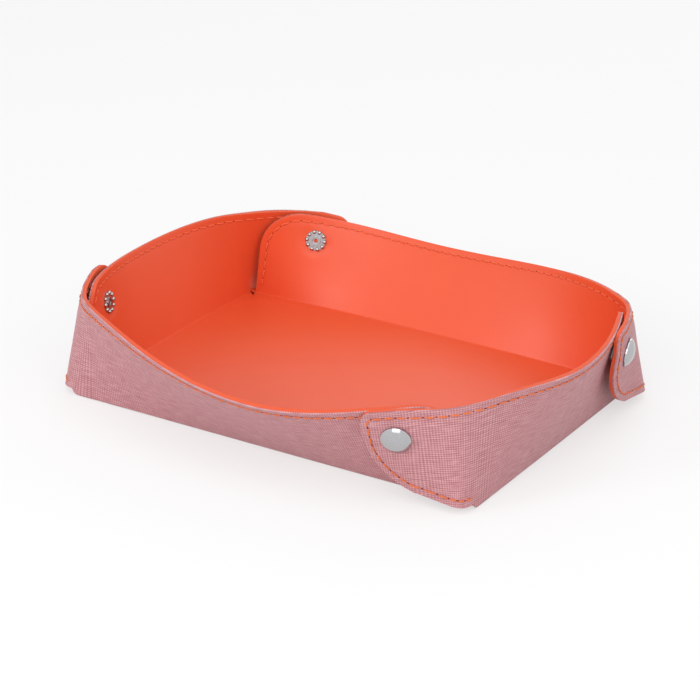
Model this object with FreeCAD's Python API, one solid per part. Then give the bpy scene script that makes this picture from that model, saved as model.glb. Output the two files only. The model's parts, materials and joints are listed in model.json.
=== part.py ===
import FreeCAD, Part
import math
import os

Vector = FreeCAD.Vector

# Tray, in millimetres and degrees. The long walls are the front and back ones.
base_length = 200.0
base_width = 134.0
long_wall_slant = 43.8
short_wall_slant = 45.7
corner_slant = 43.4
long_wall_flare = 40.6
short_wall_flare = 20.8
long_wall_shift = -8.7
short_wall_shift = 5.2
flare_power = 0.85
corner_lean = 4.5

# Sheets
skin_thickness = 0.6
glue_line = 0.05
lining_thickness = 1.55
board_thickness = 1.2
base_clearance = 0.3
end_clearance = 4.5
end_round = 17.0

# Corner flaps: a wall leaves its own line before the corner and joins the next wall's outside after it.
bend_start = 8.0
bend_end = 24.0
foot_roundness = 0.8
rim_roundness = 0.38
flap_hinge_at = 2.0
flap_hinge_clearance = 0.3
flap_length = 42.0
flap_tip_round = 6.0
flap_tip_height = 34.0
flap_curve_power = 2.2
flap_lift = 2.7
flap_rise = 2.0
flap_gap = 3.8
flap_tip_gap = 2.2
flap_slope = 0.1

# Snaps, on an axis through the covered wall's outer face, with heights from that face.
snap_from_tip = 13.0
snap_height = 32.5
snap_fit = 0.1
snap_press = 0.15
cap_diameter = 12.5
cap_dome_height = 2.5
cap_rim_height = 0.5
post_diameter = 3.0
rivet_diameter = 4.4
rivet_thickness = 0.4
socket_diameter = 11.6
socket_height = 3.0
socket_mouth_diameter = 9.6
socket_web = 0.5
spring_wire = 0.4
spring_lip = 0.2
spring_anchor = 0.6
stud_flange_diameter = 9.6
stud_flange_thickness = 0.5
stud_neck_diameter = 3.4
stud_head_diameter = 4.2
stud_head_height = 0.5
stud_chamfer = 0.3
stud_wall = 0.35
eyelet_diameter = 9.2
eyelet_thickness = 0.5
eyelet_mouth_diameter = 2.9
eyelet_barrel_wall = 0.3
eyelet_rim_diameter = 4.6
eyelet_rim_height = 0.5
eyelet_petals = 10
eyelet_petal_diameter = 1.9

# Thread
stitch_pitch = 4.3
stitch_length = 3.1
stitch_width = 0.7
stitch_proud = 0.2
stitch_inset = 3.8
stitch_foot_margin = 8.0

# How finely curves are followed: rulings in each stretch of sheet, points in each stretch of seam, and
# the short steps that a slope is measured over.
end_rulings = 7
wall_rulings = 20
bend_rulings = 7
flap_start_rulings = 12
flap_rulings = 9
end_seam_count = 9
wall_seam_count = 30
flap_seam_count = 60
slope_step = 0.05
bend_step = 0.5

sheet_thickness = skin_thickness + glue_line + lining_thickness
base_height = skin_thickness + board_thickness + lining_thickness
snap_inset = flap_length - snap_from_tip
up = Vector(0, 0, 1)


def on_ruling(foot, head, height):
    return foot + (head - foot).normalize() * height


# A strip of sheet is a row of straight rulings, counted by their distance along the strip.
class Strip:
    def point(self, distance, height):
        foot, head = self.ruling(distance)
        return on_ruling(foot, head, height)

    def slant_at(self, distance):
        foot, head = self.ruling(distance)
        return (head - foot).Length

    def normal(self, distance, height):
        along = self.point(distance + slope_step, height) - self.point(distance - slope_step, height)
        rise = self.point(distance, height + slope_step) - self.point(distance, height - slope_step)
        return rise.cross(along).normalize()


# A wall's distance runs from its free end's corner to the corner that its flap goes round.
class Wall(Strip):
    def __init__(self, outward, half_length, offset, slant, flare, shift):
        self.outward = outward
        self.along = Vector(outward.y, -outward.x, 0)
        self.half_length = half_length
        self.offset = offset
        self.slant = slant
        self.flare = flare
        self.shift = shift

    def ruling(self, distance):
        run = distance - self.half_length
        side = self.half_length - self.shift if run > self.shift else self.half_length + self.shift
        fullness = math.cos(math.pi / 2 * (run - self.shift) / side) ** flare_power
        tilt = math.radians((self.flare + corner_lean) * fullness - corner_lean)
        share = run / self.half_length
        slant = self.slant + (corner_slant - self.slant) * share ** 4
        drawn_in = corner_slant * math.sin(math.radians(corner_lean))
        foot = self.outward * self.offset + self.along * run
        head = self.outward * (self.offset + slant * math.sin(tilt))
        head += self.along * (run - share * drawn_in) + up * (slant * math.cos(tilt))
        return foot, head


# A flap's distance is 0 at the corner, negative on its own wall and positive outside the covered wall.
class Flap(Strip):
    def __init__(self, wall, covered):
        self.wall = wall
        self.covered = covered

    def stand_off(self, distance, height):
        taper = max(0.0, (distance - snap_inset) / (flap_length - snap_inset))
        gap = flap_gap + (flap_tip_gap - flap_gap) * taper ** 2
        return sheet_thickness + gap + flap_slope * (snap_height - height)

    def outer_ruling(self, distance):
        heights = 0, self.covered.slant_at(distance)
        return [self.covered.point(distance, h) + self.covered.normal(distance, h) * self.stand_off(distance, h)
                for h in heights]

    def ruling(self, distance):
        if distance >= bend_end:
            return self.outer_ruling(distance)
        start = 2 * self.wall.half_length - bend_start
        before = self.wall.ruling(start - bend_step)
        first = self.wall.ruling(start)
        last = self.outer_ruling(bend_end)
        after = self.outer_ruling(bend_end + bend_step)
        t = (distance + bend_start) / (bend_start + bend_end)
        ends = []
        for a, b, c, d, roundness in zip(before, first, last, after, (foot_roundness, rim_roundness)):
            handle = (c - b).Length * roundness
            leave = b + (b - a).normalize() * handle
            arrive = c + (c - d).normalize() * handle
            point = b * (1 - t) ** 3 + leave * (3 * t * (1 - t) ** 2)
            ends.append(point + arrive * (3 * t ** 2 * (1 - t)) + c * t ** 3)
        return ends

    def edges(self, distance):
        share = max(0.0, distance) / flap_length
        curve = 1 - max(0.0, 1 - share ** flap_curve_power) ** (1 / flap_curve_power)
        low = flap_lift + (flap_tip_height - flap_lift) * curve
        inside = max(0.0, distance - flap_length + flap_tip_round)
        rise = flap_rise * min(1.0, share * flap_length / snap_inset) ** 2
        return low, self.slant_at(distance) + rise - round_drop(flap_tip_round, inside)


def round_drop(radius, inside):
    return radius - math.sqrt(max(0.0, radius ** 2 - inside ** 2))


def spread(start, stop, count):
    return [start + (stop - start) * i / (count - 1) for i in range(count)]


long_sizes = base_length / 2, base_width / 2, long_wall_slant, long_wall_flare, long_wall_shift
short_sizes = base_width / 2, base_length / 2, short_wall_slant, short_wall_flare, short_wall_shift
front = Wall(Vector(0, -1, 0), *long_sizes)
left = Wall(Vector(-1, 0, 0), *short_sizes)
right = Wall(Vector(1, 0, 0), *short_sizes)


# Sheets: each station gives a strip, a distance along it and the heights of its lower and upper edge.
def ruling_at(station, depth, on_table):
    strip, distance, low, high = station
    foot, head = [strip.point(distance, h) - strip.normal(distance, h) * depth for h in (low, high)]
    if on_table:
        foot -= (head - foot) * (foot.z / (head - foot).z)
    return foot, head


def slab(stations, outer_depth, inner_depth, on_table):
    outer = [ruling_at(station, outer_depth, on_table) for station in stations]
    inner = [ruling_at(station, inner_depth, on_table) for station in stations]
    travel = [0.0]
    for (foot, head), (next_foot, next_head) in zip(outer, outer[1:]):
        travel.append(travel[-1] + (next_foot - foot).Length + (next_head - head).Length)
    rails = []
    for points in zip(*outer), zip(*inner):
        for line in points:
            rail = Part.BSplineCurve()
            rail.interpolate(Points=list(line), Parameters=travel)
            rails.append(rail.toShape())
    outer_low, outer_high, inner_low, inner_high = rails
    pairs = [(outer_low, outer_high), (inner_low, inner_high)]
    pairs += [(outer_low, inner_low), (outer_high, inner_high)]
    for end in (0, -1):
        pairs.append([Part.makeLine(*side[end]) for side in (outer, inner)])
    shell = Part.makeShell([Part.makeRuledSurface(*pair) for pair in pairs])
    shell.sewShape()
    solid = Part.makeSolid(shell)
    if solid.Volume < 0:
        solid.reverse()
    return solid


def sheets(stations, on_table):
    skin = slab(stations, 0, skin_thickness, on_table)
    lining = slab(stations, skin_thickness + glue_line, sheet_thickness, on_table)
    return skin, lining


def wall_top(wall, distance):
    inside = max(0.0, end_clearance + end_round - distance)
    return wall.slant_at(distance) - round_drop(end_round, inside)


def wall_sheets(wall, flap):
    sweep = spread(0, math.pi / 2, end_rulings)
    distances = [end_clearance + end_round * (1 - math.cos(a)) for a in sweep]
    distances += spread(distances[-1], 2 * wall.half_length - bend_start, wall_rulings)[1:]
    stations = [(wall, d, 0, wall_top(wall, d)) for d in distances]
    bend = spread(-bend_start, flap_hinge_at, bend_rulings)[1:]
    stations += [(flap, d, 0, flap.slant_at(d)) for d in bend]
    return sheets(stations, True)


def flap_sheets(flap):
    distances = spread(flap_hinge_at + flap_hinge_clearance, bend_end, flap_start_rulings)
    sweep = spread(math.asin(bend_end / flap_length), math.pi / 2, flap_rulings)[1:]
    distances += [flap_length * math.sin(a) for a in sweep]
    return sheets([(flap, d, *flap.edges(d)) for d in distances], False)


def base_layers():
    lean = math.radians(corner_lean)
    leaned_foot = sheet_thickness / math.cos(lean) + base_height * math.tan(lean)
    sides = []
    for size, flare in ((base_length, short_wall_flare), (base_width, long_wall_flare)):
        foot = max(leaned_foot, sheet_thickness / math.cos(math.radians(flare)))
        sides.append(size - 2 * (foot + base_clearance))
    length, width = sides
    height = 0
    layers = {}
    stack = {"skin": skin_thickness, "board": board_thickness, "lining": lining_thickness}
    for name, thickness in stack.items():
        corner = Vector(-length / 2, -width / 2, height)
        layers["base_" + name] = Part.makeBox(length, width, thickness, corner)
        height += thickness
    return layers


# Snap pieces, turned about the snap axis
def turned(profile):
    points = [Vector(radius, 0, height) for radius, height in profile]
    return Part.Face(Part.makePolygon(points + points[:1])).revolve(Vector(), up, 360)


def disc(diameter, bottom, top):
    return Part.makeCylinder(diameter / 2, top - bottom, Vector(0, 0, bottom))


stud_seat = -snap_press
eyelet_seat = snap_press - sheet_thickness
socket_seat = flap_gap + snap_press
cap_seat = flap_gap + sheet_thickness - snap_press
socket_mouth = socket_seat - socket_height
under_web = socket_seat - socket_web
spring_height = socket_mouth + spring_lip + spring_wire / 2
spring_offset = stud_neck_diameter / 2 + snap_fit + spring_wire / 2
stud_shoulder = spring_height + spring_wire / 2 + snap_fit
stud_top = stud_shoulder + stud_head_height
barrel_diameter = stud_neck_diameter - 2 * (stud_wall + snap_fit)


def snap_cap():
    radius = cap_diameter / 2
    edge = cap_seat + cap_rim_height
    top = edge + cap_dome_height
    sphere_radius = (radius ** 2 + cap_dome_height ** 2) / (2 * cap_dome_height)
    sphere = Part.makeSphere(sphere_radius, Vector(0, 0, top - sphere_radius))
    dome = sphere.common(disc(cap_diameter, edge, top))
    rim = disc(cap_diameter, cap_seat, edge)
    post = disc(post_diameter, under_web, cap_seat)
    rivet = disc(rivet_diameter, under_web - rivet_thickness, under_web)
    return dome.fuse([rim, post, rivet]).removeSplitter()


def snap_socket():
    cup = disc(socket_diameter, socket_mouth, socket_seat)
    cup = cup.cut(disc(socket_mouth_diameter, socket_mouth, under_web))
    cup = cup.cut(disc(post_diameter + 2 * snap_fit, socket_mouth, socket_seat))
    return cup.cut(snap_spring(spring_wire + 2 * snap_fit, spring_anchor + snap_fit))


def snap_spring(wire, anchor):
    half = math.sqrt((socket_mouth_diameter / 2) ** 2 - spring_offset ** 2) + anchor
    legs = [Part.makeCylinder(wire / 2, 2 * half, Vector(-half, y, spring_height), Vector(1, 0, 0))
            for y in (-spring_offset, spring_offset)]
    return Part.makeCompound(legs)


def snap_stud():
    flange = stud_seat + stud_flange_thickness
    neck = stud_neck_diameter / 2
    head = stud_head_diameter / 2
    bore = barrel_diameter / 2 + snap_fit
    edge = stud_flange_diameter / 2
    return turned([(bore, stud_seat), (edge, stud_seat), (edge, flange), (neck, flange),
                   (neck, stud_shoulder), (head, stud_shoulder), (head, stud_top - stud_chamfer),
                   (head - stud_chamfer, stud_top), (0, stud_top), (0, stud_top - stud_wall),
                   (bore, stud_top - stud_wall)])


def snap_eyelet():
    face = eyelet_seat
    flange = face - eyelet_thickness
    rim = flange - eyelet_rim_height
    mouth = eyelet_mouth_diameter / 2
    barrel = barrel_diameter / 2
    bore = barrel - eyelet_barrel_wall
    step = face - eyelet_thickness / 2
    body = turned([(mouth, rim), (eyelet_rim_diameter / 2, rim), (eyelet_rim_diameter / 2, flange),
                   (eyelet_diameter / 2, flange), (eyelet_diameter / 2, face), (barrel, face),
                   (barrel, stud_shoulder), (bore, stud_shoulder), (bore, step), (mouth, step)])
    ring = (eyelet_diameter - eyelet_petal_diameter / 2) / 2
    petals = []
    for i in range(eyelet_petals):
        turn = 2 * math.pi * i / eyelet_petals
        centre = Vector(ring * math.cos(turn), ring * math.sin(turn), face - eyelet_thickness / 2)
        petals.append(Part.makeSphere(eyelet_petal_diameter / 2, centre))
    room = disc(2 * eyelet_diameter, face - 2 * eyelet_petal_diameter, face)
    return body.fuse(petals).common(room)


def frame_at(origin, along, outward):
    return FreeCAD.Placement(origin, FreeCAD.Rotation(along, outward.cross(along), outward, "ZXY"))


def placed(shape, placement):
    copy = shape.copy()
    copy.Placement = placement
    return copy


# The flap leans towards the wall's rim, and the snap's axis shares that lean between the two sheets.
def snap_frame(wall):
    foot, head = wall.ruling(snap_inset)
    axis = wall.normal(snap_inset, snap_height) + (head - foot).normalize() * (flap_slope / 2)
    return frame_at(wall.point(snap_inset, snap_height), wall.along, axis.normalize())


def cut_for_snap(sheet, placement, cutters):
    for cutter in cutters:
        sheet = sheet.cut(placed(cutter, placement))
    return sheet


# Thread: stitches at an even pitch along a seam, each through both sheets
def seam_places(seam):
    places = []
    travelled = stitch_pitch / 2
    for (a, b), (c, d) in zip(seam, seam[1:]):
        length = math.hypot(c - a, d - b)
        while travelled < length:
            share = travelled / length
            places.append((a + (c - a) * share, b + (d - b) * share, (c - a) / length, (d - b) / length))
            travelled += stitch_pitch
        travelled -= length
    return places


def stitches(strip, seam):
    thick = sheet_thickness + 2 * stitch_proud
    corner = Vector(-stitch_length / 2, -stitch_width / 2, -sheet_thickness - stitch_proud)
    bar = Part.makeBox(stitch_length, stitch_width, thick, corner)
    bars = []
    for distance, height, run, rise in seam_places(seam):
        here = strip.point(distance, height)
        along = strip.point(distance + run, height + rise) - strip.point(distance - run, height - rise)
        bars.append(placed(bar, frame_at(here, along, strip.normal(distance, height))))
    return bars


def wall_seam(wall):
    side = end_clearance + stitch_inset
    radius = end_round - stitch_inset
    middle = end_clearance + end_round
    shoulder = wall.slant_at(side) - end_round
    seam = [(side, stitch_foot_margin)]
    for angle in spread(0, math.pi / 2, end_seam_count):
        seam.append((middle - radius * math.cos(angle), shoulder + radius * math.sin(angle)))
    for distance in spread(middle, 2 * wall.half_length - bend_start, wall_seam_count)[1:]:
        seam.append((distance, wall.slant_at(distance) - stitch_inset))
    return seam


def bend_seam(flap):
    stop = flap_hinge_at - stitch_length / 2
    return [(d, flap.slant_at(d) - stitch_inset) for d in spread(-bend_start, stop, bend_rulings)]


def flap_seam(flap):
    first = math.asin((flap_hinge_at + flap_hinge_clearance) / flap_length)
    sweep = [flap_length * math.sin(a) for a in spread(first, math.pi / 2, flap_seam_count)]
    top = [(d, flap.edges(d)[1]) for d in sweep]
    low = [(d, flap.edges(d)[0]) for d in reversed(sweep)]
    outline = top + low
    seam = []
    for (a, b), (c, d) in zip(outline, outline[1:]):
        inset = stitch_inset / math.hypot(c - a, d - b)
        distance = (a + c) / 2 + (d - b) * inset
        height = (b + d) / 2 - (c - a) * inset
        if distance > stitch_inset + stitch_length / 2 or height > flap_tip_height:
            seam.append((distance, height))
    return seam


def wall_pieces(name, wall, flap):
    snap = snap_frame(wall)
    skin, lining = wall_sheets(wall, flap)
    hole = disc(barrel_diameter + 2 * snap_fit, -2 * sheet_thickness, sheet_thickness)
    stud_room = disc(stud_flange_diameter + 2 * snap_fit, stud_seat, flap_gap)
    eyelet_room = disc(eyelet_diameter + eyelet_petal_diameter, -2 * sheet_thickness, eyelet_seat)
    thread = stitches(wall, wall_seam(wall)) + stitches(flap, bend_seam(flap))
    return {
        name + "_wall_skin": cut_for_snap(skin, snap, [hole, stud_room]),
        name + "_wall_lining": cut_for_snap(lining, snap, [hole, eyelet_room]),
        name + "_wall_stitching": Part.makeCompound(thread),
        name + "_wall_stud": placed(snap_stud(), snap),
        name + "_wall_eyelet": placed(snap_eyelet(), snap),
    }


def flap_pieces(name, flap):
    snap = snap_frame(flap.covered)
    skin, lining = flap_sheets(flap)
    hole = disc(post_diameter + 2 * snap_fit, 0, 2 * cap_seat)
    socket_room = disc(socket_diameter + 2 * snap_fit, 0, socket_seat)
    cap_room = disc(cap_diameter + 2 * snap_fit, cap_seat, 2 * cap_seat)
    return {
        name + "_flap_skin": cut_for_snap(skin, snap, [hole, cap_room]),
        name + "_flap_lining": cut_for_snap(lining, snap, [hole, socket_room]),
        name + "_flap_stitching": Part.makeCompound(stitches(flap, flap_seam(flap))),
        name + "_flap_cap": placed(snap_cap(), snap),
        name + "_flap_socket": placed(snap_socket(), snap),
        name + "_flap_spring": placed(snap_spring(spring_wire, spring_anchor), snap),
    }


pieces = base_layers()
for name, opposite, wall, covered in (("front", "back", front, left), ("right", "left", right, front)):
    flap = Flap(wall, covered)
    made = wall_pieces(name, wall, flap) | flap_pieces(name, flap)
    for node, shape in made.items():
        pieces[node] = shape
        turned_copy = shape.copy()
        turned_copy.rotate(Vector(), up, 180)
        pieces[node.replace(name, opposite)] = turned_copy

os.makedirs("parts", exist_ok=True)
for node, shape in pieces.items():
    shape.exportStep(f"parts/{node}.step")
    print(node, len(shape.Solids), round(shape.Volume, 1), shape.isValid())
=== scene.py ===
import json
import math
import bmesh
import bpy
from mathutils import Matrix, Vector


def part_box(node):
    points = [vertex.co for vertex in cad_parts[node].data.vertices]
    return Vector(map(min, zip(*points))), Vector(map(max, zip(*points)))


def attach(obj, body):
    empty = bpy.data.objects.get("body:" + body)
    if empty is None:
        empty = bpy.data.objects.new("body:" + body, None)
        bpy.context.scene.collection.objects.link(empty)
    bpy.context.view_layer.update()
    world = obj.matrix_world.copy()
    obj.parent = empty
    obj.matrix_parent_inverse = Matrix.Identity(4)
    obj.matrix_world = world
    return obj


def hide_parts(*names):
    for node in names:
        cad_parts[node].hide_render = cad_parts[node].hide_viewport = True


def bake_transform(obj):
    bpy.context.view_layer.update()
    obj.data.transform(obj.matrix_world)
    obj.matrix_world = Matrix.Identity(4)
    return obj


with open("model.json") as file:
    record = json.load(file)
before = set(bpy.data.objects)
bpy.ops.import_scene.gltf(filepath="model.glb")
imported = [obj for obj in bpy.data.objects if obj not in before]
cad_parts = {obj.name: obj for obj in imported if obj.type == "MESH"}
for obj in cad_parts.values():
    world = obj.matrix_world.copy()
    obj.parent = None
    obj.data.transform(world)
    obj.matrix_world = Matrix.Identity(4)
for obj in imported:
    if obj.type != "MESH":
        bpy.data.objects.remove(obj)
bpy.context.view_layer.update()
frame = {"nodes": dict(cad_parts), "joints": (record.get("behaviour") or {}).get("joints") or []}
mm = 0.001
up = Vector((0, 0, 1))
coveredBy = {"front": "left", "right": "front", "back": "right", "left": "back"}
hinges = {joint["child"]: joint for joint in frame["joints"]}
print("frame loaded:", len(frame["nodes"]), "nodes")

# sizes in millimetres; the base comes from the fold lines
tray = {
    "baseLength": 2 * hinges["right_wall"]["pos_m"][0] / mm,
    "baseWidth": 2 * hinges["back_wall"]["pos_m"][1] / mm,
    "longSlant": 43.8,
    "shortSlant": 45.7,
    "cornerSlant": 43.4,
    "longFlare": 40.6,
    "shortFlare": 20.8,
    "longShift": -8.7,
    "shortShift": 5.2,
    "flarePower": 0.85,
    "cornerLean": 4.5,
    "skin": 0.6,
    "glue": 0.05,
    "lining": 1.55,
    "board": 1.2,
    "endClearance": 4.5,
    "endRound": 17.0,
}
flapForm = {
    "bendStart": 8.0,
    "bendEnd": 24.0,
    "bendStep": 0.5,  # slopes at the bend's ends are measured over this
    "footRoundness": 0.8,
    "rimRoundness": 0.38,
    "length": 42.0,
    "tipRound": 6.0,
    "tipHeight": 34.0,
    "curvePower": 2.2,
    "lift": 2.7,
    "rise": 2.0,
    "gap": 3.8,
    "tipGap": 2.2,
    "slope": 0.1,
    "snapInset": 29.0,
    "snapHeight": 32.5,
    "hug": 1.2,  # the top edge curls this far towards the rim that it covers
    "hugFrom": 35.0,
    "hugTo": 47.0,
}
search = {"steps": (2.0, 1.0, 0.5, 0.25, 0.1), "rounds": 4}
sheetThickness = tray["skin"] + tray["glue"] + tray["lining"]
baseHeight = tray["skin"] + tray["board"] + tray["lining"]


def spread(start, stop, count):
    return [start + (stop - start) * i / (count - 1) for i in range(count)]


def ramp(value, low, high):  # smooth step from 0 to 1
    t = min(1.0, max(0.0, (value - low) / (high - low)))
    return t * t * (3 - 2 * t)


def roundDrop(radius, inside):  # how far a round corner falls below its edge
    return radius - math.sqrt(max(0.0, radius ** 2 - inside ** 2))


class Wall:  # distance along it starts at the corner by its free end
    def __init__(self, outward, half, offset, slant, flare, shift):
        self.outward = Vector(outward)
        self.along = Vector((outward[1], -outward[0], 0))
        self.half = half
        self.offset = offset
        self.slant = slant
        self.flare = flare
        self.shift = shift

    def ruling(self, distance):
        run = distance - self.half
        side = self.half - self.shift if run > self.shift else self.half + self.shift
        fullness = max(0.0, math.cos(math.pi / 2 * (run - self.shift) / side)) ** tray["flarePower"]
        tilt = math.radians((self.flare + tray["cornerLean"]) * fullness - tray["cornerLean"])
        share = run / self.half
        slant = self.slant + (tray["cornerSlant"] - self.slant) * share ** 4
        drawnIn = tray["cornerSlant"] * math.sin(math.radians(tray["cornerLean"]))
        foot = self.outward * self.offset + self.along * run
        head = self.outward * (self.offset + slant * math.sin(tilt))
        head += self.along * (run - share * drawnIn) + up * (slant * math.cos(tilt))
        return foot, head


def onRuling(ruling, height):
    foot, head = ruling
    return foot + (head - foot).normalized() * height


def surfaceNormal(ruling, distance, height, step=0.05):
    along = onRuling(ruling(distance + step), height) - onRuling(ruling(distance - step), height)
    foot, head = ruling(distance)
    return (head - foot).cross(along).normalized()


class Sheet:  # a wall and its flap as one strip, with its corner at distance 2 * half
    def __init__(self, wall, covered):
        self.wall = wall
        self.covered = covered
        self.corner = 2 * wall.half
        start = self.corner - flapForm["bendStart"]
        end = flapForm["bendEnd"]
        step = flapForm["bendStep"]
        roundness = flapForm["footRoundness"], flapForm["rimRoundness"]
        rails = zip(wall.ruling(start - step), wall.ruling(start), self.flapRuling(end),
                    self.flapRuling(end + step), roundness)
        self.bend = []
        for a, b, c, d, share in rails:
            handle = (c - b).length * share
            self.bend.append((b, b + (b - a).normalized() * handle, c + (c - d).normalized() * handle, c))

    def standOff(self, past, height):
        taper = max(0.0, (past - flapForm["snapInset"]) / (flapForm["length"] - flapForm["snapInset"]))
        gap = flapForm["gap"] + (flapForm["tipGap"] - flapForm["gap"]) * taper ** 2
        return sheetThickness + gap + flapForm["slope"] * (flapForm["snapHeight"] - height)

    def flapRuling(self, past):
        ruling = self.covered.ruling(past)
        ends = []
        for height in (0, (ruling[1] - ruling[0]).length):
            normal = surfaceNormal(self.covered.ruling, past, height)
            ends.append(onRuling(ruling, height) + normal * self.standOff(past, height))
        return ends

    def ruling(self, distance):
        past = distance - self.corner
        if past <= -flapForm["bendStart"]:
            return self.wall.ruling(distance)
        if past >= flapForm["bendEnd"]:
            return self.flapRuling(past)
        t = (past + flapForm["bendStart"]) / (flapForm["bendStart"] + flapForm["bendEnd"])
        s = 1 - t
        return [b * s ** 3 + leave * (3 * t * s ** 2) + arrive * (3 * t ** 2 * s) + c * t ** 3
                for b, leave, arrive, c in self.bend]

    def point(self, distance, height, depth=0.0):
        past = distance - self.corner
        if past > 0 and height > flapForm["hugFrom"]:
            curl = flapForm["hug"] * ramp(past, 0, flapForm["bendEnd"])
            depth += curl * ramp(height, flapForm["hugFrom"], flapForm["hugTo"])
        normal = surfaceNormal(self.ruling, distance, height)
        return onRuling(self.ruling(distance), height) - normal * depth

    def slant(self, distance):
        foot, head = self.ruling(distance)
        return (head - foot).length

    def top(self, distance):
        past = distance - self.corner
        inside = max(0.0, tray["endClearance"] + tray["endRound"] - distance)
        tip = max(0.0, past - flapForm["length"] + flapForm["tipRound"])
        rise = flapForm["rise"] * min(1.0, max(0.0, past / flapForm["snapInset"])) ** 2
        drop = roundDrop(tray["endRound"], inside) + roundDrop(flapForm["tipRound"], tip)
        return self.slant(distance) + rise - drop

    def low(self, distance):  # the flap's lower edge, after the corner
        share = max(0.0, distance - self.corner) / flapForm["length"]
        power = flapForm["curvePower"]
        curve = 1 - max(0.0, 1 - share ** power) ** (1 / power)
        return flapForm["lift"] + (flapForm["tipHeight"] - flapForm["lift"]) * curve

    def placeOf(self, node, distance):  # the place on the sheet nearest to a node's middle
        low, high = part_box(node)
        target = (Vector(low) + Vector(high)) / (2 * mm)
        best = Vector((distance, flapForm["snapHeight"]))
        for step in search["steps"]:
            for _ in range(search["rounds"]):
                tries = [best + Vector((a, b)) * step for a in (-1, 0, 1) for b in (-1, 0, 1)]
                best = min(tries, key=lambda spot: (self.point(*spot) - target).length)
        return best


halfLength = tray["baseLength"] / 2
halfWidth = tray["baseWidth"] / 2
longSizes = halfLength, halfWidth, tray["longSlant"], tray["longFlare"], tray["longShift"]
shortSizes = halfWidth, halfLength, tray["shortSlant"], tray["shortFlare"], tray["shortShift"]
walls = {"front": Wall((0, -1, 0), *longSizes), "back": Wall((0, 1, 0), *longSizes),
         "right": Wall((1, 0, 0), *shortSizes), "left": Wall((-1, 0, 0), *shortSizes)}
sheetOf = {name: Sheet(walls[name], walls[covered]) for name, covered in coveredBy.items()}

mapScale = 0.01  # a step of 1 in the sheet's map is 100 mm
waveUnit = 0.314  # a wave texture of this scale has one band in each millimetre


# shader maths written as Python
class Wire:
    def __init__(self, finish, socket):
        self.finish = finish
        self.socket = socket

    def maths(self, operation, *values):
        return self.finish.node("ShaderNodeMath", {"operation": operation}, dict(enumerate(values)))

    def __add__(self, other):
        return self.maths("ADD", self, other)

    def __sub__(self, other):
        return self.maths("SUBTRACT", self, other)

    def __rsub__(self, other):
        return self.maths("SUBTRACT", other, self)

    def __mul__(self, other):
        return self.maths("MULTIPLY", self, other)

    __radd__ = __add__
    __rmul__ = __mul__


class Finish:
    def __init__(self, name, owner=None):
        self.material = owner or bpy.data.materials.new(name)
        self.material.use_nodes = True
        self.tree = self.material.node_tree
        self.tree.nodes.clear()

    def node(self, kind, settings=None, inputs=None, out=0):
        made = self.tree.nodes.new(kind)
        for key, value in (settings or {}).items():
            setattr(made, key, value)
        for key, value in (inputs or {}).items():
            if isinstance(value, Wire):
                self.tree.links.new(value.socket, made.inputs[key])
            else:
                made.inputs[key].default_value = value
        return Wire(self, made.outputs[out]) if made.outputs else None

    def noise(self, vector, scale, detail=2.0):
        return self.node("ShaderNodeTexNoise", {}, {"Vector": vector, "Scale": scale, "Detail": detail}, "Fac")

    def bands(self, direction, inputs):
        return self.node("ShaderNodeTexWave", {"bands_direction": direction}, inputs, "Fac")

    def between(self, value, low, high):
        return self.node("ShaderNodeMapRange", {"interpolation_type": "SMOOTHSTEP"},
                         {"Value": value, "From Min": low, "From Max": high})

    def stretch(self, vector, scale):
        return self.node("ShaderNodeVectorMath", {"operation": "MULTIPLY"}, {0: vector, 1: scale})

    def mix(self, share, first, second):
        return self.node("ShaderNodeMix", {"data_type": "RGBA"}, {0: share, 6: first, 7: second}, 2)

    def sheetPlace(self):  # millimetres along and up the sheet
        place = self.node("ShaderNodeUVMap", {"uv_map": "sheetMap"})
        return self.stretch(place, [1 / mapScale] * 3)

    def solidPlace(self):
        return self.node("ShaderNodeTexCoord", {}, {}, "Object")

    def surface(self, look, tint, rough, height=None):
        inputs = {**look["fixed"], "Base Color": tint, "Roughness": rough}
        if height is not None:
            strength, reach = look["bump"]
            inputs["Normal"] = self.node("ShaderNodeBump", {}, {"Height": height, "Strength": strength,
                                                                "Distance": reach})
        shader = self.node("ShaderNodeBsdfPrincipled", {}, inputs)
        self.node("ShaderNodeOutputMaterial", {}, {"Surface": shader})
        return self.material


# the darker groove colour is painted shade for the grain's hollows and the lightest colour is a painted
# highlight for its crests
hatch = {"colour": (0.53, 0.245, 0.265, 1), "groove": (0.37, 0.14, 0.155, 1), "ridgeHighlight": (0.70, 0.41, 0.42, 1),
         "pitch": 1.05, "rise": 0.92, "waver": {"Distortion": 0.7, "Detail": 2.0, "Detail Scale": 1.4},
         "acrossShare": 0.85, "acrossBase": 0.4, "alongBase": 0.3, "grain": 0.39, "lines": 0.4,
         "streakLength": 7.0, "streakCount": 1.6, "streakRange": (0.3, 0.7), "level": 0.75, "upright": 0.1,
         "patchScale": 0.06, "patchRange": (0.35, 0.65), "patchShare": 0.25,
         "crest": (0.12, 0.6), "peakHighlight": (0.45, 0.9), "peakShare": 0.9,
         "rough": 0.5, "hazeScale": 0.4, "haze": 0.12, "polish": 0.1,
         "fixed": {"Specular IOR Level": 0.35}, "bump": (0.6, 0.0002)}
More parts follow.
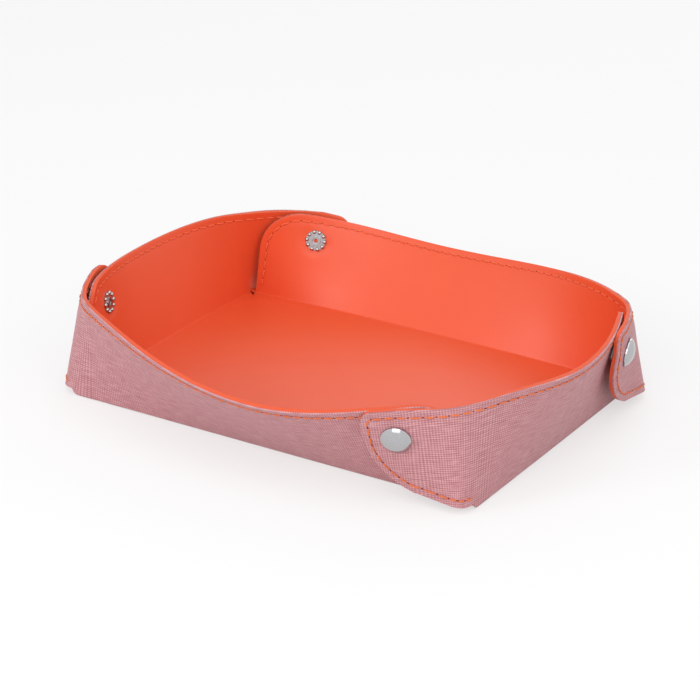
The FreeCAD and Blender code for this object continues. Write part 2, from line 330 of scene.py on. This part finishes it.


# a close grid of raised grains, broken by finer streaks both ways; the tint is painted shade in the hollows and
# a painted highlight on the crests
def pinkHatch():
    made = Finish("pinkHatch")
    place = made.sheetPlace()
    pitch = hatch["pitch"]
    rise = hatch["rise"]
    run = 1 / hatch["streakLength"]
    patch = made.between(made.noise(place, hatch["patchScale"]), *hatch["patchRange"]) * hatch["patchShare"]
    across = made.bands("X", {"Vector": place, "Scale": waveUnit / pitch, **hatch["waver"]})
    along = made.bands("Y", {"Vector": place, "Scale": waveUnit / rise, **hatch["waver"]})
    streaks = []
    for scale in ((run, hatch["streakCount"] / rise, 1), (hatch["streakCount"] / pitch, run, 1)):
        streaks.append(made.between(made.noise(made.stretch(place, scale), 1.0), *hatch["streakRange"]))
    grain = (across * hatch["acrossShare"] + hatch["acrossBase"]) * (along + hatch["alongBase"])
    lines = streaks[0] * (hatch["level"] - patch) + streaks[1] * (hatch["upright"] + patch)
    height = grain * hatch["grain"] + lines * hatch["lines"]
    # low grain is tinted darker as painted shade and the highest grain lighter as a painted highlight
    crest = made.between(height, *hatch["crest"])
    tint = made.mix(crest, hatch["groove"], hatch["colour"])
    tint = made.mix(made.between(height, *hatch["peakHighlight"]) * hatch["peakShare"], tint, hatch["ridgeHighlight"])
    rough = hatch["rough"] + made.noise(place, hatch["hazeScale"]) * hatch["haze"] - crest * hatch["polish"]
    return made.surface(hatch, tint, rough, height)


satin = {"colour": (0.77, 0.100, 0.031, 1), "deep": (0.71, 0.083, 0.025, 1), "cellScale": 2.6,
         "fineScale": 5.0, "broadScale": 0.05, "detail": 3.0, "cellRise": 0.5, "fineRise": 0.6,
         "broadTint": 0.6, "fineTint": 0.25, "rough": 0.36, "fineRough": 0.08, "broadRough": 0.05,
         "fixed": {"Specular IOR Level": 0.5}, "bump": (0.25, 0.00008)}


# fine leather grain
def orangeLining():
    made = Finish("orangeLining")
    place = made.sheetPlace()
    cells = made.node("ShaderNodeTexVoronoi", {"feature": "DISTANCE_TO_EDGE"},
                      {"Vector": place, "Scale": satin["cellScale"]}, "Distance")
    fine = made.noise(place, satin["fineScale"], satin["detail"])
    broad = made.noise(place, satin["broadScale"], satin["detail"])
    height = cells * satin["cellRise"] + fine * satin["fineRise"]
    tint = made.mix(broad * satin["broadTint"] + fine * satin["fineTint"], satin["colour"], satin["deep"])
    rough = satin["rough"] + fine * satin["fineRough"] + broad * satin["broadRough"]
    return made.surface(satin, tint, rough, height)


edge = {"colour": (0.80, 0.13, 0.05, 1), "dark": (0.62, 0.07, 0.026, 1), "scale": 2500.0, "detail": 3.0,
        "rough": 0.5, "spread": 0.2, "fixed": {"Specular IOR Level": 0.3}, "bump": (0.4, 0.0001)}


def cutEdge():
    made = Finish("cutEdge")
    fibre = made.noise(made.solidPlace(), edge["scale"], edge["detail"])
    tint = made.mix(fibre, edge["dark"], edge["colour"])
    return made.surface(edge, tint, edge["rough"] + fibre * edge["spread"], fibre)


# each thread's second colour is painted shade for the hollows between its twisted plies
twist = {"shades": {"sewingThread": ((0.90, 0.23, 0.075, 1), (0.74, 0.15, 0.045, 1)),
                    "bobbinThread": ((0.92, 0.18, 0.075, 1), (0.85, 0.13, 0.05, 1))},
         "wave": {"Scale": 2.2, "Distortion": 0.6, "Detail": 1.0}, "rough": 0.55, "spread": 0.1,
         "fixed": {"Specular IOR Level": 0.35}, "bump": (0.7, 0.0001)}


def twisted(name):
    colour, shade = twist["shades"][name]
    made = Finish(name)
    strand = made.bands("DIAGONAL", {"Vector": made.sheetPlace(), **twist["wave"]})
    # the diagonal bands darken the thread with painted shade between the plies
    tint = made.mix(strand, shade, colour)
    return made.surface(twist, tint, twist["rough"] + strand * twist["spread"], strand)


# the needle holes' dark colours are painted shade for the shadow inside each hole
holeShade = {"dark": (0.20, 0.016, 0.008, 1), "pale": (0.32, 0.034, 0.014, 1), "tintScale": 1.5, "roughScale": 3.0,
        "rough": 0.8, "spread": 0.1, "fixed": {"Specular IOR Level": 0.1}}


def needleHoleShade():
    made = Finish("needleHoleShade")
    place = made.sheetPlace()
    tint = made.mix(made.noise(place, holeShade["tintScale"]), holeShade["dark"], holeShade["pale"])
    return made.surface(holeShade, tint, holeShade["rough"] + made.noise(place, holeShade["roughScale"]) * holeShade["spread"])


plating = {"shades": {"chrome": ((0.52, 0.52, 0.53, 1), (0.40, 0.40, 0.42, 1), 0.10),
                      "stampedMetal": ((0.46, 0.46, 0.47, 1), (0.28, 0.28, 0.29, 1), 0.18)},
           "hazeScale": 900.0, "hazeDetail": 3.0, "scuffScale": 2600.0, "scuffRun": (1, 1, 6),
           "hazeTint": 0.6, "hazeRough": 0.05, "scuffRough": 0.03,
           "fixed": {"Metallic": 1.0}, "bump": (0.04, 0.0001)}


def plated(name):
    bright, dull, rough = plating["shades"][name]
    made = Finish(name)
    place = made.solidPlace()
    haze = made.noise(place, plating["hazeScale"], plating["hazeDetail"])
    scuff = made.noise(made.stretch(place, plating["scuffRun"]), plating["scuffScale"])
    tint = made.mix(haze * plating["hazeTint"], bright, dull)
    return made.surface(plating, tint, rough + haze * plating["hazeRough"] + scuff * plating["scuffRough"], haze)


wire = {"bright": (0.62, 0.62, 0.63, 1), "dull": (0.50, 0.50, 0.52, 1), "scale": 1800.0, "run": (1, 4, 4),
        "rough": 0.25, "spread": 0.15, "fixed": {"Metallic": 1.0}, "bump": (0.1, 0.0001)}


def springSteel():
    made = Finish("springSteel")
    drawn = made.noise(made.stretch(made.solidPlace(), wire["run"]), wire["scale"])
    tint = made.mix(drawn, wire["dull"], wire["bright"])
    return made.surface(wire, tint, wire["rough"] + drawn * wire["spread"], drawn)


stiffener = {"dark": (0.20, 0.19, 0.17, 1), "pale": (0.34, 0.32, 0.30, 1), "scale": 1200.0, "detail": 4.0,
             "rough": 0.8, "spread": 0.15, "fixed": {"Specular IOR Level": 0.2}, "bump": (0.3, 0.0002)}


def greyBoard():
    made = Finish("greyBoard")
    pulp = made.noise(made.solidPlace(), stiffener["scale"], stiffener["detail"])
    tint = made.mix(pulp, stiffener["dark"], stiffener["pale"])
    return made.surface(stiffener, tint, stiffener["rough"] + pulp * stiffener["spread"], pulp)


plainFinishes = pinkHatch, orangeLining, cutEdge, needleHoleShade, springSteel, greyBoard
finishes = {make.__name__: make() for make in plainFinishes}
finishes.update({name: plated(name) for name in plating["shades"]})
finishes.update({name: twisted(name) for name in twist["shades"]})
print("finishes made:", len(finishes))


def newPiece(name, mesh, finishNames):
    for finishName in finishNames:
        mesh.materials.append(finishes[finishName])
    piece = bpy.data.objects.new(name, mesh)
    bpy.context.scene.collection.objects.link(piece)
    return piece


softEdge = {"segments": 3, "profile": 0.5, "sharpAngle": 50.0}


# a closed slab between two grids of points, with its rim bevelled in front or behind; places are the
# sheet coordinates of the grid
def slab(name, front, back, places, finishNames, bevel=0.0, bevelFront=True):
    build = bmesh.new()
    mapLayer = build.loops.layers.uv.new("sheetMap")
    rows = len(front)
    columns = len(front[0])
    at = {}
    placeOf = {}
    for layer, grid in enumerate((front, back)):
        for i in range(rows):
            for j in range(columns):
                vertex = build.verts.new(grid[i][j] * mm)
                at[layer, i, j] = vertex
                placeOf[vertex] = places[i][j]
    quads = []
    for i in range(rows - 1):
        for j in range(columns - 1):
            quads.append((0, [(0, i, j), (0, i + 1, j), (0, i + 1, j + 1), (0, i, j + 1)]))
            quads.append((0, [(1, i, j), (1, i, j + 1), (1, i + 1, j + 1), (1, i + 1, j)]))
    sides = {"low": [(i, 0) for i in range(rows)], "high": [(i, columns - 1) for i in range(rows)],
             "start": [(0, j) for j in range(columns)], "end": [(rows - 1, j) for j in range(columns)]}
    turned = {"low": False, "high": True, "start": True, "end": False}
    for side, line in sides.items():
        for a, b in zip(line, line[1:]):
            ring = [(0, *a), (1, *a), (1, *b), (0, *b)]
            quads.append((1, ring[::-1] if turned[side] else ring))
    for index, corners in quads:
        face = build.faces.new([at[corner] for corner in corners])
        face.material_index = index
        face.smooth = True
        for loop in face.loops:
            loop[mapLayer].uv = placeOf[loop.vert] * mapScale
    build.normal_update()
    if bevel:
        layer = 0 if bevelFront else 1
        soft = []
        for side in ("high", "start", "end"):
            for a, b in zip(sides[side], sides[side][1:]):
                soft.append(build.edges.get((at[(layer, *a)], at[(layer, *b)])))
        bmesh.ops.bevel(build, geom=soft, offset=bevel * mm, segments=softEdge["segments"],
                        profile=softEdge["profile"], affect="EDGES", clamp_overlap=True)
    bmesh.ops.recalc_face_normals(build, faces=build.faces[:])
    mesh = bpy.data.meshes.new(name)
    build.to_mesh(mesh)
    build.free()
    mesh.set_sharp_from_angle(angle=math.radians(softEdge["sharpAngle"]))
    return newPiece(name, mesh, finishNames)


# the flat size of a sheet, from its own map
def declareSheet(places):
    area = 0.0
    for row, nextRow in zip(places, places[1:]):
        for a, b, c, d in zip(row, row[1:], nextRow[1:], nextRow):
            area += abs((c - a).cross(d - b)) / 2
    area * mm * mm


seam = {"inset": 3.0, "room": 0.93, "least": 1e-6, "pitch": 4.6, "footMargin": 8.0, "groove": 0.16,
        "grooveWidth": 0.8, "lineStep": 0.7}
stitch = {"length": 3.5, "width": 0.78, "proud": 0.14, "sink": 0.35, "slant": 4.0, "rings": 9, "sides": 8,
          "dive": 5, "taper": 0.3, "flatness": 0.8, "slopeStep": 0.1, "mapStep": 0.28}
needle = {"length": 0.65, "width": 0.38, "proud": 0.1, "inside": 0.55, "sides": 12}
fold = {"inset": 6.0, "top": 7.0, "radius": 1.2, "crease": 0.25, "cornerStop": 1.0, "cornerRound": 2.6,
        "ramp": 6.0, "stub": 0.4, "stubGap": 0.05, "stubStations": 4, "radiusShare": 0.8, "least": 0.01,
        "basePoints": 5, "bendPoints": 7, "wallPoints": 6, "turn": (0.6, 0.8), "reach": 4.1}
sheetGrid = {"endStations": 16, "wallStep": 1.5, "bendStep": 0.9, "flapStations": 26, "rows": 36, "endRows": 12,
             "baseLength": 41, "baseWidth": 31, "skinBevel": 0.16, "liningBevel": 0.4}
seat = {"cap": (6.4, 0.2), "stud": (5.0, 0.2), "eyelet": (5.3, 0.2), "socket": (6.0, 0.2), "spread": 3.0,
        "layer": 0.1}
skinFinish = "pinkHatch", "pinkHatch"
liningFinish = "orangeLining", "cutEdge"


def stationsOf(sheet):
    first = tray["endClearance"]
    radius = tray["endRound"]
    stations = [first + radius * (1 - math.cos(a)) for a in spread(0, math.pi / 2, sheetGrid["endStations"])]
    bend = sheet.corner - flapForm["bendStart"]
    count = round((bend - stations[-1]) / sheetGrid["wallStep"])
    stations += spread(stations[-1], bend, count)[1:]
    bendEnd = sheet.corner + flapForm["bendEnd"]
    stations += spread(bend, bendEnd, round((bendEnd - bend) / sheetGrid["bendStep"]))[1:]
    sweepStart = math.asin(flapForm["bendEnd"] / flapForm["length"])
    sweep = spread(sweepStart, math.pi / 2, sheetGrid["flapStations"])
    return stations + [sheet.corner + flapForm["length"] * math.sin(a) for a in sweep[1:]]


def foldTop(sheet, distance):  # where the fold strip hands over to the wall
    share = ramp(distance, sheet.corner - fold["ramp"], sheet.corner - fold["cornerStop"])
    return fold["top"] + (flapForm["lift"] - fold["top"]) * share


def lowEdge(sheet, distance):
    return foldTop(sheet, distance) if distance < sheet.corner - fold["cornerStop"] else sheet.low(distance)


def outline(sheet):  # free end, rim, tip and flap edge as points along and up the sheet
    stations = stationsOf(sheet)
    first = stations[0]
    line = [Vector((first, h)) for h in spread(0, sheet.top(first), sheetGrid["endRows"])]
    line += [Vector((d, sheet.top(d))) for d in stations[1:]]
    line += [Vector((d, sheet.low(d))) for d in reversed(stations) if d > sheet.corner - fold["cornerStop"]]
    return line


def seamLine(sheet):
    line = outline(sheet)
    inner = []
    for a, b in zip(line, line[1:]):
        run = b - a
        if run.length < seam["least"]:
            continue
        side = Vector((run.y, -run.x)).normalized()
        spot = (a + b) / 2 + side * seam["inset"]
        room = min((spot - corner).length for corner in line)
        if room > seam["inset"] * seam["room"] and spot.y > seam["inset"]:
            inner.append(spot)
    return inner


def along(line, pitch, start):
    spots = []
    travelled = start
    for a, b in zip(line, line[1:]):
        length = (b - a).length
        while travelled < length:
            spots.append((a + (b - a) * (travelled / length), (b - a).normalized()))
            travelled += pitch
        travelled -= length
    return spots


def snapAxis(wall):
    foot, head = wall.ruling(flapForm["snapInset"])
    axis = surfaceNormal(wall.ruling, flapForm["snapInset"], flapForm["snapHeight"])
    return (axis + (head - foot).normalized() * (flapForm["slope"] / 2)).normalized()


def dent(sheet, spot, seats, face):  # how far a snap flattens the face under it
    deepest = 0.0
    level = 0.0 if face > 0 else sheetThickness
    for place, kind, axis in seats:
        radius, pressed = seat[kind]
        away = (spot - place).length
        if away < radius + seat["spread"]:
            rise = (sheet.point(*spot, level) - sheet.point(*place, level)).dot(axis) * face
            deepest = max(deepest, (rise + pressed) * (1 - ramp(away, radius, radius + seat["spread"])))
    return deepest


def wallSheets(name):
    sheet = sheetOf[name]
    line = [spot for spot, _ in along(seamLine(sheet), seam["lineStep"], 0.0)]
    wallSnap = sheet.placeOf(name + "_wall_stud", flapForm["snapInset"])
    flapSnap = sheet.placeOf(name + "_flap_cap", sheet.corner + flapForm["snapInset"])
    wallAxis = snapAxis(sheet.wall)
    flapAxis = snapAxis(sheet.covered)
    outerSeats = [(wallSnap, "stud", wallAxis), (flapSnap, "cap", flapAxis)]
    innerSeats = [(wallSnap, "eyelet", wallAxis), (flapSnap, "socket", flapAxis)]
    places = []
    layers = [[], [], [], []]
    for d in stationsOf(sheet):
        row = [Vector((d, h)) for h in spread(lowEdge(sheet, d), sheet.top(d), sheetGrid["rows"])]
        places.append(row)
        near = [spot for spot in line if abs(spot.x - d) < 3 * seam["grooveWidth"]]
        strips = [[], [], [], []]
        for spot in row:
            nearest = min([(spot - other).length for other in near], default=math.inf)
            groove = seam["groove"] * math.exp(-(nearest / seam["grooveWidth"]) ** 2)
            outer = groove + dent(sheet, spot, outerSeats, 1)
            middle = max(tray["skin"], outer + seat["layer"])
            inner = sheetThickness - groove - dent(sheet, spot, innerSeats, -1)
            for strip, depth in zip(strips, (outer, middle, middle + tray["glue"], inner)):
                strip.append(sheet.point(*spot, depth))
        for layer, strip in zip(layers, strips):
            layer.append(strip)
    skin = slab(name + "_sheet_skin", layers[0], layers[1], places, skinFinish, sheetGrid["skinBevel"])
    lining = slab(name + "_sheet_lining", layers[2], layers[3], places, liningFinish, sheetGrid["liningBevel"],
                  False)
    declareSheet(places)
    declareSheet(places)
    return skin, lining


def foldPath(sheet, distance, depth, level, baseRun, softness):
    wall = sheet.wall
    low = sheet.point(distance, 0, depth)
    high = sheet.point(distance, fold["top"], depth)
    nearCorner = distance - sheet.corner + fold["cornerStop"] + fold["cornerRound"]
    lift = roundDrop(fold["cornerRound"], max(0.0, nearCorner)) if depth <= tray["skin"] else 0.0
    height = (level + lift - low.z) / (high.z - low.z)
    meet = low + (high - low) * height
    start = wall.outward * (wall.offset - fold["inset"]) + wall.along * baseRun + up * level
    top = sheet.point(distance, foldTop(sheet, distance), depth)
    if distance < tray["endClearance"]:  # only the base runs on to the corner
        top = meet + (high - low).normalized() * fold["stub"]
    inward = (start - meet).normalized()
    rise = (top - meet).normalized() if (top - meet).length > fold["least"] else up
    radius = min(softness, (top - meet).length * fold["radiusShare"])
    before = meet + inward * softness
    after = meet + rise * radius
    path = [start + (before - start) * t for t in spread(0, 1, fold["basePoints"])]
    for t in spread(0, 1, fold["bendPoints"])[1:]:
        path.append(before * (1 - t) ** 2 + meet * (2 * t * (1 - t)) + after * t ** 2)
    return path + [after + (top - after) * t for t in spread(0, 1, fold["wallPoints"])[1:]]


def foldPlaces(sheet, stations, grid):  # the strip's own map, which meets the wall's at its top
    places = []
    for d, path in zip(stations, grid):
        travel = [0.0]
        for a, b in zip(path, path[1:]):
            travel.append(travel[-1] + (b - a).length)
        places.append([Vector((d, foldTop(sheet, d) - travel[-1] + t)) for t in travel])
    return places


def foldStrips(name):
    sheet = sheetOf[name]
    last = sheet.corner - fold["cornerStop"]
    stations = spread(fold["cornerStop"], tray["endClearance"] - fold["stubGap"], fold["stubStations"])
    stations += [d for d in stationsOf(sheet) if d < last] + [last]
    reach = sheet.wall.half - fold["inset"]
    runs = [reach * (2 * (d - stations[0]) / (last - stations[0]) - 1) for d in stations]
    grids = []
    levels = [(0, 0, fold["radius"]), (tray["skin"], tray["skin"], fold["radius"]),
              (tray["skin"] + tray["glue"], tray["skin"] + tray["board"], fold["crease"]),
              (sheetThickness, baseHeight, fold["crease"])]
    for depth, level, softness in levels:
        grids.append([foldPath(sheet, d, depth, level, run, softness) for d, run in zip(stations, runs)])
    outside = foldPlaces(sheet, stations, grids[0])
    inside = foldPlaces(sheet, stations, grids[3])
    skin = slab(name + "_fold_skin", grids[0], grids[1], outside, skinFinish)
    lining = slab(name + "_fold_lining", grids[2], grids[3], inside, liningFinish)
    declareSheet(outside)
    declareSheet(inside)
    return skin, lining


def aheadOf(sheet, spot, direction, depth, centre):
    step = direction * stitch["slopeStep"]
    return (sheet.point(spot.x + step.x, spot.y + step.y, depth) - centre).normalized()


def stitchTube(build, mapLayer, sheet, spot, direction, face, index):
    turn = math.radians(stitch["slant"]) * face
    lean = Vector((direction.x * math.cos(turn) - direction.y * math.sin(turn),
                   direction.x * math.sin(turn) + direction.y * math.cos(turn)))
    rings = []
    sides = stitch["sides"]
    for t in spread(-1, 1, stitch["rings"]):
        run = t * stitch["length"] / 2
        place = spot + lean * run
        lift = stitch["proud"] - (stitch["proud"] + stitch["sink"]) * abs(t) ** stitch["dive"]
        depth = -lift if face > 0 else sheetThickness + lift
        centre = sheet.point(place.x, place.y, depth)
        normal = surfaceNormal(sheet.ruling, place.x, place.y)
        across = normal.cross(aheadOf(sheet, place, lean, depth, centre)).normalized()
        radius = stitch["width"] / 2 * (1 - stitch["taper"] * abs(t) ** 3)
        ring = []
        for k in range(sides):
            angle = 2 * math.pi * k / sides
            offset = across * (math.cos(angle) * radius)
            offset += normal * (math.sin(angle) * radius * stitch["flatness"])
            ring.append((build.verts.new((centre + offset) * mm), Vector((run, k * stitch["mapStep"]))))
        rings.append(ring)
    faces = []
    for first, second in zip(rings, rings[1:]):
        for k in range(sides):
            faces.append([first[k], second[k], second[k + 1 - sides], first[k + 1 - sides]])
    faces += [rings[0], rings[-1][::-1]]
    for corners in faces:
        made = build.faces.new([vertex for vertex, _ in corners])
        made.smooth = True
        made.material_index = index
        for loop, (_, place) in zip(made.loops, corners):
            loop[mapLayer].uv = place * mapScale


# a small dark lens over each needle hole, carrying the painted shade of the hole
def needleMark(build, mapLayer, sheet, spot, direction, face, index):
    normal = surfaceNormal(sheet.ruling, spot.x, spot.y) * face
    depth = seam["groove"] if face > 0 else sheetThickness - seam["groove"]
    centre = sheet.point(spot.x, spot.y, depth)
    ahead = aheadOf(sheet, spot, direction, depth, centre)
    across = normal.cross(ahead).normalized()
    crown = build.verts.new((centre + normal * needle["proud"]) * mm)
    under = build.verts.new((centre - normal * stitch["sink"]) * mm)
    size = 1.0 if face > 0 else needle["inside"]
    rim = []
    for k in range(needle["sides"]):
        angle = 2 * math.pi * k / needle["sides"]
        offset = ahead * (math.cos(angle) * needle["length"]) + across * (math.sin(angle) * needle["width"])
        rim.append(build.verts.new((centre + offset * size + normal * (needle["proud"] / 2)) * mm))
    for k in range(needle["sides"]):
        for corners in ((rim[k - 1], rim[k], crown), (rim[k], rim[k - 1], under)):
            made = build.faces.new(corners)
            made.smooth = True
            made.material_index = index
            for loop in made.loops:
                loop[mapLayer].uv = spot * mapScale


def stitches(name):
    sheet = sheetOf[name]
    build = bmesh.new()
    mapLayer = build.loops.layers.uv.new("sheetMap")
    line = seamLine(sheet)
    start = seam["footMargin"] - seam["inset"]
    slots = ["sewingThread", "bobbinThread", "needleHoleShade"]
    for face, threadName in ((1, "sewingThread"), (-1, "bobbinThread")):
        for spot, direction in along(line, seam["pitch"], start):
            stitchTube(build, mapLayer, sheet, spot, direction, face, slots.index(threadName))
        for spot, direction in along(line, seam["pitch"], start + seam["pitch"] / 2):
            needleMark(build, mapLayer, sheet, spot, direction, face, slots.index("needleHoleShade"))
    bmesh.ops.recalc_face_normals(build, faces=build.faces[:])
    mesh = bpy.data.meshes.new(name + "_stitches")
    build.to_mesh(mesh)
    build.free()
    return newPiece(name + "_stitches", mesh, slots)


def bendWithFlap(piece, name):
    hinge = hinges[name + "_flap"]
    axis = Vector(hinge["axis"]).normalized()
    across = walls[name].along - walls[name].outward
    across = (across - axis * across.dot(axis)).normalized()
    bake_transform(piece)


def bendWithWall(piece, name):
    wall = walls[name]
    start = wall.outward * (wall.offset - fold["inset"]) + up * baseHeight
    end = start + (wall.outward * fold["turn"][0] + up * fold["turn"][1]) * fold["reach"]
    start * mm
    end * mm
    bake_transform(piece)


def basePlate(name, low, high, finishNames):
    xs = spread(fold["inset"] - halfLength, halfLength - fold["inset"], sheetGrid["baseLength"])
    ys = spread(fold["inset"] - halfWidth, halfWidth - fold["inset"], sheetGrid["baseWidth"])
    grids = [[[Vector((x, y, level)) for y in ys] for x in xs] for level in (high, low)]
    places = [[Vector((x, y)) for y in ys] for x in xs]
    plate = slab(name, grids[0], grids[1], places, finishNames)
    declareSheet(places)
    return plate


for name in coveredBy:
    skin, lining = wallSheets(name)
    thread = stitches(name)
    foldSkin, foldLining = foldStrips(name)
    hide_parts(name + "_wall_skin", name + "_flap_skin")
    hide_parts(name + "_wall_lining", name + "_flap_lining")
    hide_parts(name + "_wall_stitching", name + "_flap_stitching")
    for piece, slotName in ((skin, "outer_leather"), (lining, "lining_leather"), (thread, "thread")):
        bendWithFlap(piece, name)
    for piece, slotName in ((foldSkin, "outer_leather"), (foldLining, "lining_leather")):
        bendWithWall(piece, name)
    print("wall dressed:", name)

bottom = basePlate("base_bottom_skin", 0, tray["skin"], skinFinish)
floorLining = basePlate("base_floor_lining", tray["skin"] + tray["board"], baseHeight, liningFinish)
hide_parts("base_skin")
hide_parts("base_lining")
for piece in (bottom, floorLining):
    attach(piece, "base")

nodeFinish = {"cap": "chrome", "socket": "stampedMetal", "stud": "stampedMetal", "eyelet": "stampedMetal",
              "spring": "springSteel", "board": "greyBoard"}
for name, node in frame["nodes"].items():
    kind = name.split("_")[-1]
    if kind in nodeFinish:
        node.data.materials.clear()
        node.data.materials.append(finishes[nodeFinish[kind]])
print("base and snaps finished")

# camera at the photograph's angle, in degrees and millimetres
view = {"azimuth": 32.03, "elevation": 23.88, "lens": 139.1, "sensor": 36.0, "distance": 1178.4,
        "right": -1.89, "up": 18.34}
azimuth = math.radians(view["azimuth"])
elevation = math.radians(view["elevation"])
level = math.cos(elevation)
back = Vector((math.sin(azimuth) * level, -math.cos(azimuth) * level, math.sin(elevation)))
right = Vector((math.cos(azimuth), math.sin(azimuth), 0))
lensUp = back.cross(right)
camera = bpy.data.objects.new("camera", bpy.data.cameras.new("camera"))
camera.location = (back * view["distance"] + right * view["right"] + lensUp * view["up"]) * mm
camera.rotation_mode = "QUATERNION"
camera.rotation_quaternion = (-back).to_track_quat("-Z", "Y")
camera.data.sensor_width = view["sensor"]
camera.data.lens = view["lens"]
camera.data.clip_start = 0.01
camera.data.clip_end = 100.0
bpy.context.scene.collection.objects.link(camera)
bpy.context.scene.camera = camera

# metres and watts
studio = {"world": 0.6, "white": (1, 1, 1, 1), "floor": (0.86, 0.86, 0.86, 1), "shadow": 0.4,
          "floorReach": 3.0, "floorDrop": 0.0002, "aim": (0, 0, 0.02),
          "lamps": [("key", (0.4, -1.2, 0.85), 1.0, 7.2), ("side", (-0.7, -1.1, 0.6), 0.4, 4.4),
                    ("top", (0.1, -0.1, 1.4), 1.2, 3.6), ("fill", (1.3, -0.3, 0.8), 1.0, 4.2),
                    ("rear", (-0.2, 1.3, 0.7), 1.0, 3.0)]}


def lamp(name, place, size, power):
    light = bpy.data.lights.new(name, "AREA")
    light.size = size
    light.energy = power
    made = bpy.data.objects.new(name, light)
    made.location = place
    made.rotation_mode = "QUATERNION"
    made.rotation_quaternion = (Vector(studio["aim"]) - Vector(place)).to_track_quat("-Z", "Y")
    bpy.context.scene.collection.objects.link(made)


for settings in studio["lamps"]:
    lamp(*settings)


def whiteShare(made):  # the plain white that the camera, metal and glass see
    rays = [made.node("ShaderNodeLightPath", {}, {}, ray)
            for ray in ("Is Camera Ray", "Is Glossy Ray", "Is Transmission Ray")]
    return made.between(rays[0] + rays[1] + rays[2], 0.0, 1.0)


def floorFinish():
    made = Finish("floorFinish")
    matte = made.node("ShaderNodeBsdfDiffuse", {}, {"Color": studio["floor"]})
    white = made.node("ShaderNodeEmission", {}, {"Color": studio["white"], "Strength": 1.0})
    share = whiteShare(made) * (1 - studio["shadow"])
    mixed = made.node("ShaderNodeMixShader", {}, {0: share, 1: matte, 2: white})
    made.node("ShaderNodeOutputMaterial", {}, {"Surface": mixed})
    return made.material


reach = studio["floorReach"]
floorCorners = [(-reach, -reach, 0), (reach, -reach, 0), (reach, reach, 0), (-reach, reach, 0)]
floorMesh = bpy.data.meshes.new("floor")
floorMesh.from_pydata(floorCorners, [], [(0, 1, 2, 3)])
floorMesh.materials.append(floorFinish())
floor = bpy.data.objects.new("floor", floorMesh)
floor.location.z = -studio["floorDrop"]
bpy.context.scene.collection.objects.link(floor)

world = bpy.data.worlds.new("studio")
bpy.context.scene.world = world
sky = Finish("studio", world)
ambient = sky.node("ShaderNodeBackground", {}, {"Color": studio["white"], "Strength": studio["world"]})
plain = sky.node("ShaderNodeBackground", {}, {"Color": studio["white"], "Strength": 1.0})
chosen = sky.node("ShaderNodeMixShader", {}, {0: whiteShare(sky), 1: ambient, 2: plain})
sky.node("ShaderNodeOutputWorld", {}, {"Surface": chosen})
bpy.context.scene.view_settings.view_transform = "Standard"
print("studio set")
